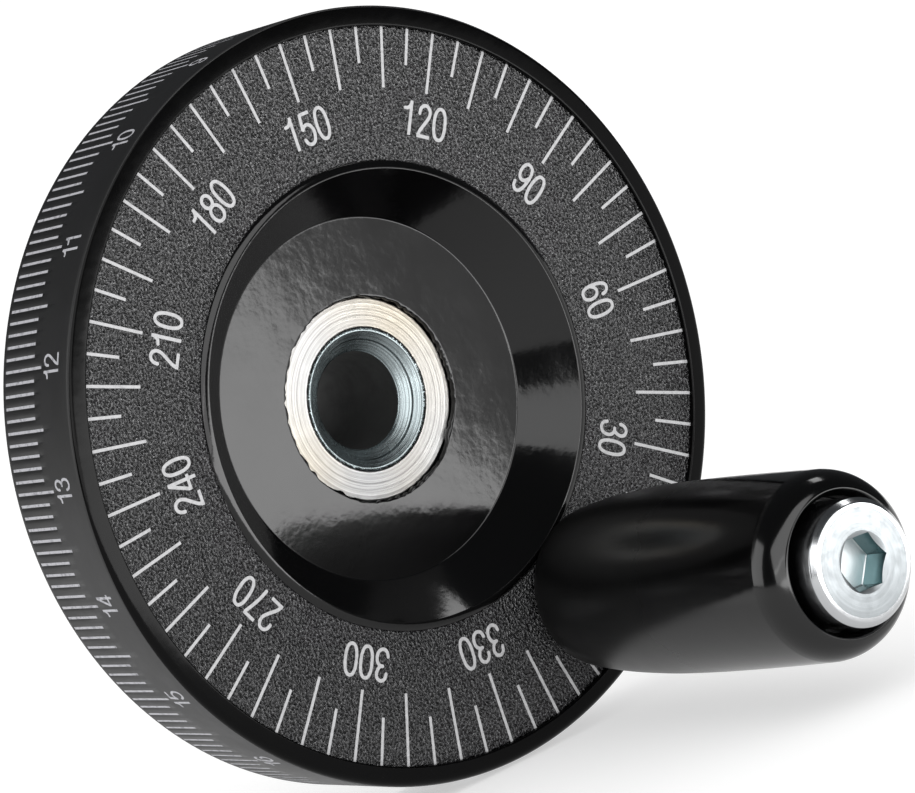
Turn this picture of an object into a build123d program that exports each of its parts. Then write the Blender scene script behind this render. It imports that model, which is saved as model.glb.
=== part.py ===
from build123d import *
import math
import os

os.makedirs("parts", exist_ok=True)

# Machine handwheel: a dished phenolic wheel with a moulded-in steel hub insert
# and a revolving barrel handle held by a socket-head shoulder screw.
# All lengths in millimetres. The wheel axis is Y, the dial faces -Y, and the
# origin lies on the bore axis at the hub's back face.

# ---- driving dimensions -------------------------------------------------
RIM_R = 50.0            # rim outside radius at the front
RIM_BACK_R = 49.14      # same wall at the back, about three degrees of draft
RIM_DEPTH = 16.2        # dial plane to the rim's back edge
HUB_BACK = 28.0         # dial plane to the hub's back face

LIP_R = 48.45           # crest of the raised lip round the dial
LIP_H = 0.55            # its height over the dial plane
LIP_INNER_R = 47.35     # where the lip meets the dial band
LIP_ROUND = 0.75        # round from the crest to the rim's side

BEAD_OUTER_R = 30.15    # bead between the dial band and the recess
BEAD_CREST_R = 29.2
BEAD_H = 0.4

WALL_TOP_R = 29.0       # conical wall of the recess, 42 degrees off the axis
WALL_TOP_Z = 0.3
FLOOR_R = 23.42         # where that wall would meet the flat floor
FLOOR_Z = -5.86
FOOT_ROUND = 0.4        # hollow round between them

RIM_BACK_INNER_R = 35.2     # inside of the rim on the back
WEB_STEP_R = 34.6           # where the rim meets the web
WEB_BACK_Z = -12.6
WEB_FILLET = 1.6
BOSS_R = 19.0               # hub boss on the back
BOSS_FILLET = 2.0
BOSS_BACK_Z = -27.5

INSERT_R = 13.18        # steel hub insert
INSERT_FACE_Z = -6.7
INSERT_GROOVE_R = 11.8  # groove that keys it into the moulding
INSERT_GROOVE_TOP = -12.0
INSERT_GROOVE_BOT = -19.0
BORE_R = 6.35           # 12.7 mm bore
BORE_MOUTH_R = 8.78     # countersink at the front
BORE_MOUTH_Z = -8.5
BORE_BACK_CHAMFER = 0.4

HANDLE_OFFSET = 38.4    # handle axis to wheel axis
HANDLE_ANGLE = -60.0    # its direction in the XZ plane, from +X towards +Z

TAP_INSERT_R = 7.0      # threaded insert under the handle
TAP_INSERT_BACK_Z = -12.0
TAP_INSERT_TOP = 0.55   # stands level with the lip's crest, so the grip clears it
TAP_GROOVE_R = 6.2
THREAD_R = 4.0          # M8
TAP_DEPTH = 11.6
THREAD_LEN = 10.8

SHANK_R = 5.0           # plain shoulder the grip turns on
HEAD_R = 8.1
HEAD_Z0 = 48.5
HEAD_Z1 = 56.5
HEAD_ROUND = 0.65
HEX_AF = 6.6
HEX_DEPTH = 4.0
HEX_CHAMFER_R = 4.1
HEX_ANGLE = -2.65       # direction of one hexagon corner in the XZ plane, from +X towards +Z

GRIP_RUNNING = 0.06     # radial clearance on the shoulder
GRIP_Z0 = 0.85          # 0.3 mm over the threaded insert
GRIP_SEAT_Z = 48.3      # counterbore floor, 0.2 mm under the screw head
GRIP_COUNTERBORE_R = 8.6
GRIP_PROFILE = [        # radius, height over the dial plane
    (9.4, 0.85), (9.95, 1.6), (10.5, 3.1), (11.0, 6.0), (11.5, 10.0),
    (11.9, 15.0), (12.15, 20.0), (12.27, 27.0), (12.27, 34.0),
    (12.21, 41.0), (12.13, 46.0), (12.05, 49.3),
]
GRIP_NOSE = [           # rounded end, from the crease at the body's edge
    (12.05, 49.3), (11.9, 50.2), (11.6, 51.1), (11.12, 51.95),
    (10.45, 52.67), (9.7, 53.12),
]

HX = HANDLE_OFFSET * math.cos(math.radians(HANDLE_ANGLE))
HZ = HANDLE_OFFSET * math.sin(math.radians(HANDLE_ANGLE))
S45 = math.sqrt(0.5)


def yy(z):
    """World Y of a height z over the dial plane."""
    return -(z + HUB_BACK)


def pt(r, z):
    """Sketch point at radius r and height z over the dial plane."""
    return (r, yy(z))


HANDLE_PLANE = Plane(origin=(HX, 0, HZ), x_dir=(1, 0, 0), z_dir=(0, 0, 1))
HANDLE_AXIS = Axis((HX, 0, HZ), (0, 1, 0))

# ---- hub insert ---------------------------------------------------------
with BuildPart() as hub_insert:
    with BuildSketch(Plane.XY):
        with BuildLine():
            Polyline(
                pt(BORE_R, -HUB_BACK + BORE_BACK_CHAMFER),
                pt(BORE_R + BORE_BACK_CHAMFER, -HUB_BACK),
                pt(INSERT_R - 0.5, -HUB_BACK),
                pt(INSERT_R, -HUB_BACK + 0.5),
                pt(INSERT_R, INSERT_GROOVE_BOT),
                pt(INSERT_GROOVE_R, INSERT_GROOVE_BOT + 1.0),
                pt(INSERT_GROOVE_R, INSERT_GROOVE_TOP - 1.0),
                pt(INSERT_R, INSERT_GROOVE_TOP),
                pt(INSERT_R, INSERT_FACE_Z),
                pt(BORE_MOUTH_R, INSERT_FACE_Z),
                pt(BORE_R, BORE_MOUTH_Z),
                close=True,
            )
        make_face()
    revolve(axis=Axis.Y)
hub_insert.part.label = "hub_insert"

# ---- wheel body, one phenolic moulding ----------------------------------
wall_slope = math.atan2(WALL_TOP_Z - FLOOR_Z, WALL_TOP_R - FLOOR_R)
foot_t = FOOT_ROUND * math.tan(wall_slope / 2)      # corner to tangent point
foot_c = (FLOOR_R - foot_t, FLOOR_Z + FOOT_ROUND)   # centre of the foot's round
lip_c = (RIM_R - LIP_ROUND, LIP_H - LIP_ROUND)
web_c = (WEB_STEP_R + 0.3 - WEB_FILLET, WEB_BACK_Z - WEB_FILLET)
boss_c = (BOSS_R + 0.3 + BOSS_FILLET, WEB_BACK_Z - BOSS_FILLET)

with BuildPart() as wheel_body:
    with BuildSketch(Plane.XY):
        with BuildLine():
            # front face, from the insert outwards
            Polyline(
                pt(INSERT_R, INSERT_GROOVE_TOP),
                pt(INSERT_R, FLOOR_Z),
                pt(foot_c[0], FLOOR_Z),
            )
            ThreePointArc(
                pt(foot_c[0], FLOOR_Z),
                pt(
                    foot_c[0] + FOOT_ROUND * math.sin(wall_slope / 2),
                    foot_c[1] - FOOT_ROUND * math.cos(wall_slope / 2),
                ),
                pt(
                    foot_c[0] + FOOT_ROUND * math.sin(wall_slope),
                    foot_c[1] - FOOT_ROUND * math.cos(wall_slope),
                ),
            )
            Polyline(
                pt(
                    foot_c[0] + FOOT_ROUND * math.sin(wall_slope),
                    foot_c[1] - FOOT_ROUND * math.cos(wall_slope),
                ),
                pt(WALL_TOP_R, WALL_TOP_Z),
            )
            # bead
            ThreePointArc(
                pt(WALL_TOP_R, WALL_TOP_Z),
                pt(WALL_TOP_R + 0.07, BEAD_H - 0.03),
                pt(BEAD_CREST_R, BEAD_H),
            )
            ThreePointArc(
                pt(BEAD_CREST_R, BEAD_H),
                pt(BEAD_CREST_R + 0.53, BEAD_H - 0.125),
                pt(BEAD_OUTER_R, 0.0),
            )
            # dial band and lip
            Polyline(
                pt(BEAD_OUTER_R, 0.0),
                pt(LIP_INNER_R, 0.0),
                pt(LIP_INNER_R + 0.12, 0.22),
            )
            ThreePointArc(
                pt(LIP_INNER_R + 0.12, 0.22),
                pt(LIP_INNER_R + 0.5, 0.45),
                pt(LIP_R, LIP_H),
            )
            Polyline(pt(LIP_R, LIP_H), pt(lip_c[0], LIP_H))
            ThreePointArc(
                pt(lip_c[0], LIP_H),
                pt(lip_c[0] + LIP_ROUND * S45, lip_c[1] + LIP_ROUND * S45),
                pt(RIM_R, lip_c[1]),
            )
            # rim side and back
            Polyline(pt(RIM_R, lip_c[1]), pt(RIM_BACK_R, -RIM_DEPTH + 0.6))
            ThreePointArc(
                pt(RIM_BACK_R, -RIM_DEPTH + 0.6),
                pt(RIM_BACK_R - 0.6 + 0.6 * S45, -RIM_DEPTH + 0.6 - 0.6 * S45),
                pt(RIM_BACK_R - 0.6, -RIM_DEPTH),
            )
            Polyline(
                pt(RIM_BACK_R - 0.6, -RIM_DEPTH),
                pt(RIM_BACK_INNER_R + 0.8, -RIM_DEPTH),
            )
            ThreePointArc(
                pt(RIM_BACK_INNER_R + 0.8, -RIM_DEPTH),
                pt(RIM_BACK_INNER_R + 0.8 - 0.8 * S45, -RIM_DEPTH + 0.8 - 0.8 * S45),
                pt(RIM_BACK_INNER_R, -RIM_DEPTH + 0.8),
            )
            Polyline(
                pt(RIM_BACK_INNER_R, -RIM_DEPTH + 0.8),
                pt(web_c[0] + WEB_FILLET, web_c[1]),
            )
            ThreePointArc(
                pt(web_c[0] + WEB_FILLET, web_c[1]),
                pt(web_c[0] + WEB_FILLET * S45, web_c[1] + WEB_FILLET * S45),
                pt(web_c[0], WEB_BACK_Z),
            )
            # web and hub boss
            Polyline(pt(web_c[0], WEB_BACK_Z), pt(boss_c[0], WEB_BACK_Z))
            ThreePointArc(
                pt(boss_c[0], WEB_BACK_Z),
                pt(boss_c[0] - BOSS_FILLET * S45, boss_c[1] + BOSS_FILLET * S45),
                pt(boss_c[0] - BOSS_FILLET, boss_c[1]),
            )
            Polyline(
                pt(boss_c[0] - BOSS_FILLET, boss_c[1]),
                pt(BOSS_R, BOSS_BACK_Z + 0.8),
                pt(BOSS_R - 0.8, BOSS_BACK_Z),
                pt(INSERT_R, BOSS_BACK_Z),
                pt(INSERT_R, INSERT_GROOVE_BOT),
                pt(INSERT_GROOVE_R, INSERT_GROOVE_BOT + 1.0),
                pt(INSERT_GROOVE_R, INSERT_GROOVE_TOP - 1.0),
                pt(INSERT_R, INSERT_GROOVE_TOP),
            )
        make_face()
    revolve(axis=Axis.Y)
    # seat of the threaded insert
    with BuildSketch(HANDLE_PLANE):
        with BuildLine():
            Polyline(
                pt(0, 2.0),
                pt(TAP_INSERT_R, 2.0),
                pt(TAP_INSERT_R, -4.0),
                pt(TAP_GROOVE_R, -4.8),
                pt(TAP_GROOVE_R, -7.2),
                pt(TAP_INSERT_R, -8.0),
                pt(TAP_INSERT_R, TAP_INSERT_BACK_Z),
                pt(0, TAP_INSERT_BACK_Z),
                close=True,
            )
        make_face()
    revolve(axis=HANDLE_AXIS, mode=Mode.SUBTRACT)
wheel_body.part.label = "wheel_body"

# ---- threaded insert under the handle -----------------------------------
with BuildPart() as handle_insert:
    with BuildSketch(HANDLE_PLANE):
        with BuildLine():
            Polyline(
                pt(0, -TAP_DEPTH),
                pt(0, TAP_INSERT_BACK_Z),
                pt(TAP_INSERT_R, TAP_INSERT_BACK_Z),
                pt(TAP_INSERT_R, -8.0),
                pt(TAP_GROOVE_R, -7.2),
                pt(TAP_GROOVE_R, -4.8),
                pt(TAP_INSERT_R, -4.0),
                pt(TAP_INSERT_R, TAP_INSERT_TOP - 0.2),
                pt(TAP_INSERT_R - 0.2, TAP_INSERT_TOP),
                pt(THREAD_R + 0.3, TAP_INSERT_TOP),
                pt(THREAD_R, TAP_INSERT_TOP - 0.3),
                pt(THREAD_R, -TAP_DEPTH),
                close=True,
            )
        make_face()
    revolve(axis=HANDLE_AXIS)
handle_insert.part.label = "handle_insert"

# ---- handle screw, which is also the grip's spindle -----------------------
with BuildPart() as handle_screw:
    with BuildSketch(HANDLE_PLANE):
        with BuildLine():
            Polyline(
                pt(0, HEAD_Z1),
                pt(0, -THREAD_LEN),
                pt(THREAD_R - 0.8, -THREAD_LEN),
                pt(THREAD_R, -THREAD_LEN + 0.8),
                pt(THREAD_R, -1.2),
                pt(THREAD_R - 0.6, -0.9),
                pt(THREAD_R - 0.6, TAP_INSERT_TOP),
                pt(SHANK_R, TAP_INSERT_TOP),
                pt(SHANK_R, HEAD_Z0),
                pt(HEAD_R - 0.3, HEAD_Z0),
                pt(HEAD_R, HEAD_Z0 + 0.3),
                pt(HEAD_R, HEAD_Z1 - HEAD_ROUND),
            )
            ThreePointArc(
                pt(HEAD_R, HEAD_Z1 - HEAD_ROUND),
                pt(
                    HEAD_R - HEAD_ROUND + HEAD_ROUND * S45,
                    HEAD_Z1 - HEAD_ROUND + HEAD_ROUND * S45,
                ),
                pt(HEAD_R - HEAD_ROUND, HEAD_Z1),
            )
            Polyline(pt(HEAD_R - HEAD_ROUND, HEAD_Z1), pt(0, HEAD_Z1))
        make_face()
    revolve(axis=HANDLE_AXIS)
    # hexagon socket with its countersunk mouth
    ca, sa = math.cos(math.radians(HEX_ANGLE)), math.sin(math.radians(HEX_ANGLE))
    with BuildSketch(
        Plane(origin=(HX, yy(HEAD_Z1), HZ), x_dir=(ca, 0, sa), z_dir=(0, 1, 0))
    ):
        RegularPolygon(radius=HEX_AF / 2 / math.cos(math.radians(30)), side_count=6)
    extrude(amount=HEX_DEPTH, mode=Mode.SUBTRACT)
    with BuildSketch(HANDLE_PLANE):
        with BuildLine():
            Polyline(
                pt(0, HEAD_Z1 + 0.5),
                pt(HEX_CHAMFER_R + 0.5, HEAD_Z1 + 0.5),
                pt(HEX_AF / 2 - 0.3, HEAD_Z1 - (HEX_CHAMFER_R - HEX_AF / 2 + 0.3)),
                pt(0, HEAD_Z1 - (HEX_CHAMFER_R - HEX_AF / 2 + 0.3)),
                close=True,
            )
        make_face()
    revolve(axis=HANDLE_AXIS, mode=Mode.SUBTRACT)
    # drill point at the socket's foot
    with BuildSketch(HANDLE_PLANE):
        with BuildLine():
            Polyline(
                pt(0, HEAD_Z1 - HEX_DEPTH + 0.2),
                pt(HEX_AF / 2 - 0.1, HEAD_Z1 - HEX_DEPTH + 0.2),
                pt(HEX_AF / 2 - 0.1, HEAD_Z1 - HEX_DEPTH),
                pt(0, HEAD_Z1 - HEX_DEPTH - 1.4),
                close=True,
            )
        make_face()
    revolve(axis=HANDLE_AXIS, mode=Mode.SUBTRACT)
handle_screw.part.label = "handle_screw"

# ---- revolving barrel grip ------------------------------------------------
with BuildPart() as handle_grip:
    with BuildSketch(HANDLE_PLANE):
        with BuildLine():
            Spline(*[pt(r, z) for r, z in GRIP_PROFILE])
            Spline(*[pt(r, z) for r, z in GRIP_NOSE])
            ThreePointArc(
                pt(*GRIP_NOSE[-1]),
                pt(9.2, 53.0),
                pt(8.9, 52.5),
            )
            Polyline(
                pt(8.9, 52.5),
                pt(GRIP_COUNTERBORE_R, 51.9),
                pt(GRIP_COUNTERBORE_R, GRIP_SEAT_Z),
                pt(SHANK_R + GRIP_RUNNING, GRIP_SEAT_Z),
                pt(SHANK_R + GRIP_RUNNING, GRIP_Z0),
                pt(*GRIP_PROFILE[0]),
            )
        make_face()
    revolve(axis=HANDLE_AXIS)
handle_grip.part.label = "handle_grip"

for piece, name in (
    (wheel_body, "wheel_body"),
    (hub_insert, "hub_insert"),
    (handle_insert, "handle_insert"),
    (handle_screw, "handle_screw"),
    (handle_grip, "handle_grip"),
):
    export_step(piece.part, f"parts/{name}.step")
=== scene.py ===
import math

import bpy
import numpy as np
from mathutils import Matrix, Vector

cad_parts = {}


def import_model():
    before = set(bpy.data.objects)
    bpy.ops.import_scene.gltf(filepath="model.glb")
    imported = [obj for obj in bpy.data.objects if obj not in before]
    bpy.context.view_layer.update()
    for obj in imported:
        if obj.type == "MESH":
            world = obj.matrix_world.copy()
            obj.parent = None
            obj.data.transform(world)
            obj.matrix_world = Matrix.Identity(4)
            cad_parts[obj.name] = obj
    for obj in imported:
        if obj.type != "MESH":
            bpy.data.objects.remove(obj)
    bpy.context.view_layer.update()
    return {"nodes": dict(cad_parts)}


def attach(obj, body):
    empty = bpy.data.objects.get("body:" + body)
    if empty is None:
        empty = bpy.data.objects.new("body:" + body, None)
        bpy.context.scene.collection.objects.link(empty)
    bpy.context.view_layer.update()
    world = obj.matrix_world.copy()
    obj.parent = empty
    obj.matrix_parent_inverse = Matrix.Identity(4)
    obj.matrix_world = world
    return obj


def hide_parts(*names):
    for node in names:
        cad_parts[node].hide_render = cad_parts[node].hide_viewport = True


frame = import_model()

# --------------------------------------------------------------------------
# Frame. Wheel coordinates in millimetres: x to the dial's zero mark (and the
# handle), y to its 90 mark, z outwards from the dial plane.
# --------------------------------------------------------------------------
HUB_BACK = 28.0
C60, S60 = 0.5, math.sqrt(3.0) / 2.0
HANDLE_R = 38.4


def world(x, y, z):
    x, y, z = np.broadcast_arrays(
        np.asarray(x, float), np.asarray(y, float), np.asarray(z, float)
    )
    return np.stack(
        [
            (C60 * x + S60 * y) / 1000.0,
            -(z + HUB_BACK) / 1000.0,
            (-S60 * x + C60 * y) / 1000.0,
        ],
        -1,
    )


# --------------------------------------------------------------------------
# Mesh helpers
# --------------------------------------------------------------------------
def build(name, verts, faces, mats, body, face_mats=None, smooth=True):
    me = bpy.data.meshes.new(name)
    me.from_pydata([tuple(v) for v in np.asarray(verts)], [], faces)
    me.validate()
    ob = bpy.data.objects.new(name, me)
    bpy.context.scene.collection.objects.link(ob)
    for m in mats:
        me.materials.append(m)
    if face_mats is not None:
        me.polygons.foreach_set("material_index", np.asarray(face_mats, np.int32))
    me.polygons.foreach_set("use_smooth", [smooth] * len(me.polygons))
    me.update()
    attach(ob, body)
    return ob


def rounded(points):
    """Open profile from (r, z, fillet radius, steps) corners, with support points beside each corner."""
    out = []
    n = len(points)
    for i, p in enumerate(points):
        q = np.array(p[:2], float)
        rad = p[2] if len(p) > 2 else 0.0
        k = p[3] if len(p) > 3 else 5
        if rad <= 0 or i in (0, n - 1):
            out.append(q)
            continue
        a = np.array(points[i - 1][:2], float) - q
        b = np.array(points[i + 1][:2], float) - q
        la, lb = np.linalg.norm(a), np.linalg.norm(b)
        a, b = a / la, b / lb
        half = math.acos(max(-1.0, min(1.0, float(a @ b)))) / 2
        t = min(rad / math.tan(half), 0.49 * la, 0.49 * lb)
        rr = t * math.tan(half)
        c = q + (a + b) / np.linalg.norm(a + b) * (rr / math.sin(half))
        s, e = q + a * t, q + b * t
        va, vb = (s - c) / rr, (e - c) / rr
        w = math.acos(max(-1.0, min(1.0, float(va @ vb))))
        for j in range(k + 1):
            f = j / k
            v = (math.sin((1 - f) * w) * va + math.sin(f * w) * vb) / math.sin(w)
            out.append(c + rr * v)
    # support points on long runs keep the shading of flats flat
    res = [out[0]]
    for p, q in zip(out[:-1], out[1:]):
        d = np.linalg.norm(q - p)
        if d > 0.5:
            e = min(0.08, d * 0.2)
            res.append(p + (q - p) * (e / d))
            res.append(q - (q - p) * (e / d))
        res.append(q)
    return np.array(res)


class Revolve:
    """Rings of points joined into a surface of revolution round the wheel or handle axis."""

    def __init__(self, cx=0.0, cy=0.0):
        self.v, self.f, self.fm = [], [], []
        self.n = 0
        self.cx, self.cy = cx, cy
        self.rings = []

    def ring(self, r, z, ang):
        ang = np.asarray(ang, float)
        r = np.broadcast_to(np.asarray(r, float), ang.shape)
        z = np.broadcast_to(np.asarray(z, float), ang.shape)
        self.v.append(
            np.stack(
                [self.cx + r * np.cos(ang), self.cy + r * np.sin(ang), z], -1
            )
        )
        ids = np.arange(self.n, self.n + len(ang))
        self.n += len(ang)
        self.rings.append(ids)
        return len(self.rings) - 1

    def join(self, i, j, mat=0):
        a, b = self.rings[i], self.rings[j]
        if len(a) == len(b):
            a2, b2 = np.roll(a, -1), np.roll(b, -1)
            quads = np.stack([a, a2, b2, b], -1).tolist()
            self.f += quads
            self.fm += [mat] * len(quads)
            return
        flip = len(a) > len(b)
        lo, hi = (b, a) if flip else (a, b)
        k = len(hi) // len(lo)
        n = len(lo)
        for s in range(n):
            c0, c1 = int(lo[s]), int(lo[(s + 1) % n])
            h = [int(hi[(s * k + t) % len(hi)]) for t in range(k + 1)]
            mid = k // 2
            tris = [[c0, h[t + 1], h[t]] for t in range(mid)]
            tris += [[c0, c1, h[mid]]]
            tris += [[c1, h[t + 1], h[t]] for t in range(mid, k)]
            if flip:
                tris = [[x, z, y] for x, y, z in tris]
            self.f += tris
            self.fm += [mat] * len(tris)

    def chain(self, first, last, mats):
        """Join consecutive rings; mats is one index or a function of the ring number."""
        for i in range(first, last):
            self.join(i, i + 1, mats(i) if callable(mats) else mats)

    def cap(self, i, z=None, mat=0, flip=False):
        ids = self.rings[i]
        pts = self.v[i]
        c = pts.mean(0)
        if z is not None:
            c = np.array([c[0], c[1], z])
        self.v.append(c[None, :])
        ci = self.n
        self.n += 1
        self.rings.append(np.array([ci]))
        for a, b in zip(ids, np.roll(ids, -1)):
            self.f.append([int(b), int(a), ci] if flip else [int(a), int(b), ci])
            self.fm.append(mat)

    def world(self):
        p = np.concatenate(self.v, 0)
        return world(p[:, 0], p[:, 1], p[:, 2])


def outward(ob):
    import bmesh

    bm = bmesh.new()
    bm.from_mesh(ob.data)
    bmesh.ops.recalc_face_normals(bm, faces=bm.faces)
    bm.to_mesh(ob.data)
    bm.free()
    ob.data.update()


def even(n, shift=0.0):
    return (np.arange(n) + shift) * (2 * math.pi / n)


# --------------------------------------------------------------------------
# Band-pass random field: the moulded grain of the dial band
# --------------------------------------------------------------------------
GRAIN_N, GRAIN_SIZE = 1024, 102.4


def grain_field(lam, width, seed):
    rng = np.random.RandomState(seed)
    w = rng.standard_normal((GRAIN_N, GRAIN_N))
    f = np.fft.rfft2(w)
    fx = np.fft.fftfreq(GRAIN_N, d=GRAIN_SIZE / GRAIN_N)[:, None]
    fy = np.fft.rfftfreq(GRAIN_N, d=GRAIN_SIZE / GRAIN_N)[None, :]
    k = np.hypot(fx, fy) * lam
    h = np.fft.irfft2(f * np.exp(-(((k - 1.0) / width) ** 2)), s=(GRAIN_N, GRAIN_N))
    return h / h.std()


def sample_field(h, x, y):
    u = np.asarray(x) * (GRAIN_N / GRAIN_SIZE) + 5 * GRAIN_N
    v = np.asarray(y) * (GRAIN_N / GRAIN_SIZE) + 5 * GRAIN_N
    i, j = np.floor(u).astype(int), np.floor(v).astype(int)
    fu, fv = u - i, v - j
    i0, j0, i1, j1 = i % GRAIN_N, j % GRAIN_N, (i + 1) % GRAIN_N, (j + 1) % GRAIN_N
    return (
        h[i0, j0] * (1 - fu) * (1 - fv)
        + h[i1, j0] * fu * (1 - fv)
        + h[i0, j1] * (1 - fu) * fv
        + h[i1, j1] * fu * fv
    )


GRAIN = grain_field(0.72, 0.30, 11)
GRAIN_AMP = 0.030
WAVE = grain_field(9.0, 0.6, 5)

BAND_R0, BAND_R1 = 30.15, 47.36


def grain_z(x, y):
    """Height of the grained band over the dial plane."""
    h = np.tanh(1.1 * sample_field(GRAIN, x, y))
    r = np.hypot(x, y)
    edge = np.clip((r - BAND_R0) / 0.35, 0, 1) * np.clip((BAND_R1 - r) / 0.35, 0, 1)
    return -0.045 + GRAIN_AMP * h * edge


# --------------------------------------------------------------------------
# Materials
# --------------------------------------------------------------------------
def new_mat(name):
    m = bpy.data.materials.new(name)
    m.use_nodes = True
    nt = m.node_tree
    bsdf = nt.nodes["Principled BSDF"]
    return m, nt, bsdf


def tex_coord(nt):
    return nt.nodes.new("ShaderNodeTexCoord").outputs["Object"]


def noise(nt, vec, scale, detail=2.0, rough=0.5, dist=0.0):
    n = nt.nodes.new("ShaderNodeTexNoise")
    n.inputs["Scale"].default_value = scale
    n.inputs["Detail"].default_value = detail
    n.inputs["Roughness"].default_value = rough
    n.inputs["Distortion"].default_value = dist
    nt.links.new(vec, n.inputs["Vector"])
    return n.outputs["Fac"]


def ramp(nt, fac, stops):
    r = nt.nodes.new("ShaderNodeValToRGB")
    while len(r.color_ramp.elements) < len(stops):
        r.color_ramp.elements.new(0.5)
    for e, (p, c) in zip(r.color_ramp.elements, stops):
        e.position = p
        e.color = c if len(c) == 4 else (*c, 1.0)
    nt.links.new(fac, r.inputs["Fac"])
    return r.outputs["Color"]


def grey(v):
    return (v, v, v, 1.0)


def maprange(nt, val, a, b, c, d):
    m = nt.nodes.new("ShaderNodeMapRange")
    m.inputs["From Min"].default_value = a
    m.inputs["From Max"].default_value = b
    m.inputs["To Min"].default_value = c
    m.inputs["To Max"].default_value = d
    nt.links.new(val, m.inputs["Value"])
    return m.outputs["Result"]


def math_node(nt, op, a, b=None):
    m = nt.nodes.new("ShaderNodeMath")
    m.operation = op
    for i, v in enumerate((a, b)):
        if v is None:
            continue
        if isinstance(v, (int, float)):
            m.inputs[i].default_value = v
        else:
            nt.links.new(v, m.inputs[i])
    return m.outputs[0]


def bump(nt, height, strength, dist, normal=None):
    b = nt.nodes.new("ShaderNodeBump")
    b.inputs["Strength"].default_value = strength
    b.inputs["Distance"].default_value = dist
    nt.links.new(height, b.inputs["Height"])
    if normal is not None:
        nt.links.new(normal, b.inputs["Normal"])
    return b.outputs["Normal"]


def scratches(nt, vec, scale, turn, seed, width=0.012):
    """Sparse fine lines: the zero crossings of a stretched noise, kept only in patches."""
    mp = nt.nodes.new("ShaderNodeMapping")
    mp.inputs["Location"].default_value = (seed, seed * 0.37, seed * 0.11)
    mp.inputs["Rotation"].default_value = (0.0, turn, 0.0)
    mp.inputs["Scale"].default_value = (scale, scale, scale * 0.045)
    nt.links.new(vec, mp.inputs["Vector"])
    n = noise(nt, mp.outputs["Vector"], 1.0, 1.0, 0.5, 0.3)
    d = math_node(nt, "ABSOLUTE", math_node(nt, "SUBTRACT", n, 0.5))
    line = maprange(nt, d, 0.0, width, 1.0, 0.0)
    patch = noise(nt, vec, scale * 0.12, 1.0)
    patch = maprange(nt, patch, 0.56, 0.66, 0.0, 1.0)
    return math_node(nt, "MULTIPLY", line, patch)


def phenolic(name, base, r0, r1, peel, marks=0.0, spec=0.5, peel2=None, dull=None):
    m, nt, b = new_mat(name)
    v = tex_coord(nt)
    b.inputs["Specular IOR Level"].default_value = spec
    tone = noise(nt, v, 60.0, 3.0)
    col = ramp(nt, tone, [(0.3, grey(base * 0.85)), (0.7, (base * 1.1, base * 1.08, base * 1.2))])
    nt.links.new(col, b.inputs["Base Color"])
    sm = noise(nt, v, 130.0, 4.0, 0.6)
    rough = maprange(nt, sm, 0.3, 0.7, r0, r1)
    orange = noise(nt, v, 260.0, 2.0)
    fine = noise(nt, v, 1500.0, 2.0)
    n1 = bump(nt, orange, peel, 0.0004)
    n2 = bump(nt, fine, peel * 0.35 if peel2 is None else peel2, 0.00008, n1)
    if marks > 0:
        s1 = scratches(nt, v, 420.0, 0.6, 3.0)
        s2 = scratches(nt, v, 380.0, -0.9, 9.0)
        s3 = scratches(nt, v, 500.0, 1.7, 17.0)
        s = math_node(nt, "MAXIMUM", math_node(nt, "MAXIMUM", s1, s2), s3)
        rough = math_node(nt, "ADD", rough, math_node(nt, "MULTIPLY", s, 0.25 * marks))
        n2 = bump(nt, s, 0.25 * marks, 0.00005, n2)
        # settled dust: pale specks
        vo = nt.nodes.new("ShaderNodeTexVoronoi")
        vo.inputs["Scale"].default_value = 700.0
        nt.links.new(v, vo.inputs["Vector"])
        spot = maprange(nt, vo.outputs["Distance"], 0.0, 0.14, 1.0, 0.0)
        keep = maprange(nt, noise(nt, v, 900.0, 0.0), 0.66, 0.72, 0.0, 1.0)
        dust = math_node(nt, "MULTIPLY", spot, keep)
        mix = nt.nodes.new("ShaderNodeMix")
        mix.data_type = "RGBA"
        nt.links.new(math_node(nt, "MULTIPLY", dust, 0.5 * marks), mix.inputs["Factor"])
        nt.links.new(col, mix.inputs[6])
        mix.inputs[7].default_value = grey(0.35)
        nt.links.new(mix.outputs[2], b.inputs["Base Color"])
    if dull is not None:
        # worn along its length: rougher at the first place than at the second
        sep = nt.nodes.new("ShaderNodeSeparateXYZ")
        nt.links.new(v, sep.inputs[0])
        rough = math_node(nt, "ADD", rough, maprange(nt, sep.outputs["Y"], dull[0], dull[1], dull[2], 0.0))
    nt.links.new(rough, b.inputs["Roughness"])
    nt.links.new(n2, b.inputs["Normal"])
    return m


def grained(name):
    """The dial band between its larger grain, which is modelled: a fine leather-like pebble, rougher in the
    valleys, with painted shade in the valleys and painted sheen on the tops.
    """
    m, nt, b = new_mat(name)
    v = tex_coord(nt)
    fine = noise(nt, v, 2900.0, 2.0, 0.5, 0.2)
    h = fine
    # painted shade and sheen: colour darker and specular lower in the valleys, lighter and higher on the pebble
    # tops
    nt.links.new(ramp(nt, fine, [(0.38, grey(0.004)), (0.62, (0.024, 0.024, 0.027))]), b.inputs["Base Color"])
    nt.links.new(maprange(nt, fine, 0.40, 0.60, 0.24, 1.15), b.inputs["Specular IOR Level"])
    nt.links.new(maprange(nt, fine, 0.41, 0.60, 0.26, 0.14), b.inputs["Roughness"])
    nt.links.new(bump(nt, h, 1.0, 0.00055), b.inputs["Normal"])
    return m


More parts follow.
